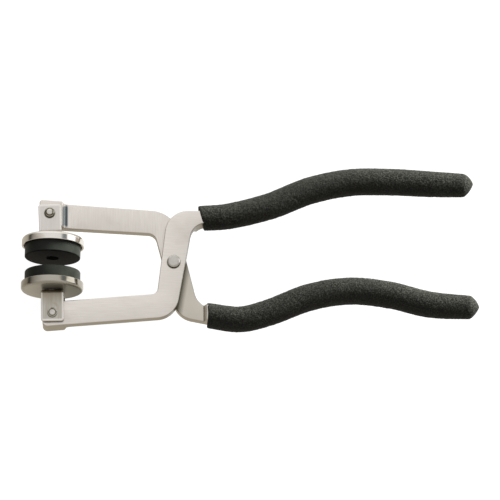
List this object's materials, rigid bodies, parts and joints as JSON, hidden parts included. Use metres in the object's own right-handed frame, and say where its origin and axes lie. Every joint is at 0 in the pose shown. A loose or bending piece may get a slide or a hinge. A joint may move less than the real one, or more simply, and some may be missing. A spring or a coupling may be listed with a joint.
{
  "type": "running pliers",
  "caption": "Running pliers for breaking scored glass: crossed steel levers, a swivelling round rubber-faced head on each jaw, and S-shaped dipped vinyl grips.",
  "frame": {"origin": "on the surface that the cups' rims rest on, below the middle of the object's outline seen from above", "axes": "+X from the jaws to the handles, +Y from the lower jaw to the upper one, +Z along the pivot rivet, up from the surface the pliers lie on"},
  "size_m": [0.2402, 0.0892, 0.0331],
  "materials": {
    "steel_satin": "satin brushed steel",
    "steel_polished": "polished",
    "steel_rivet": "bright, slightly worn",
    "rubber_black": "matt moulded rubber",
    "vinyl_black": "pebbled cushioned vinyl"
  },
  "bodies": {
    "front_half": {"front_lever": "steel_satin", "upper_grip": "vinyl_black", "pivot_rivet": "steel_rivet", "lower_clevis_pin": "steel_rivet"},
    "rear_half": {"rear_lever": "steel_satin", "lower_grip": "vinyl_black", "upper_clevis_pin": "steel_rivet"},
    "upper_head": {"upper_clevis": "steel_satin", "upper_spacer": "steel_satin", "upper_cup": "steel_polished", "upper_pad": "rubber_black", "upper_pad_rivet": "steel_rivet"},
    "lower_head": {"lower_clevis": "steel_satin", "lower_spacer": "steel_satin", "lower_cup": "steel_polished", "lower_pad": "rubber_black", "lower_pad_rivet": "steel_rivet"}
  },
  "joints": [
    {"name": "jaw_pivot", "type": "hinge", "parent": "front_half", "child": "rear_half", "pos_m": [-0.03992, -0.00781, 0.01653], "axis": [0, 0, 1], "range_deg": [-21, 4]},
    {"name": "upper_head_swivel", "type": "hinge", "parent": "rear_half", "child": "upper_head", "pos_m": [-0.10512, 0.01859, 0.01633], "axis": [0, 0, 1], "range_deg": [-7, 5]},
    {"name": "lower_head_swivel", "type": "hinge", "parent": "front_half", "child": "lower_head", "pos_m": [-0.10342, -0.03611, 0.01673], "axis": [0, 0, 1], "range_deg": [-5, 7]}
  ]
}
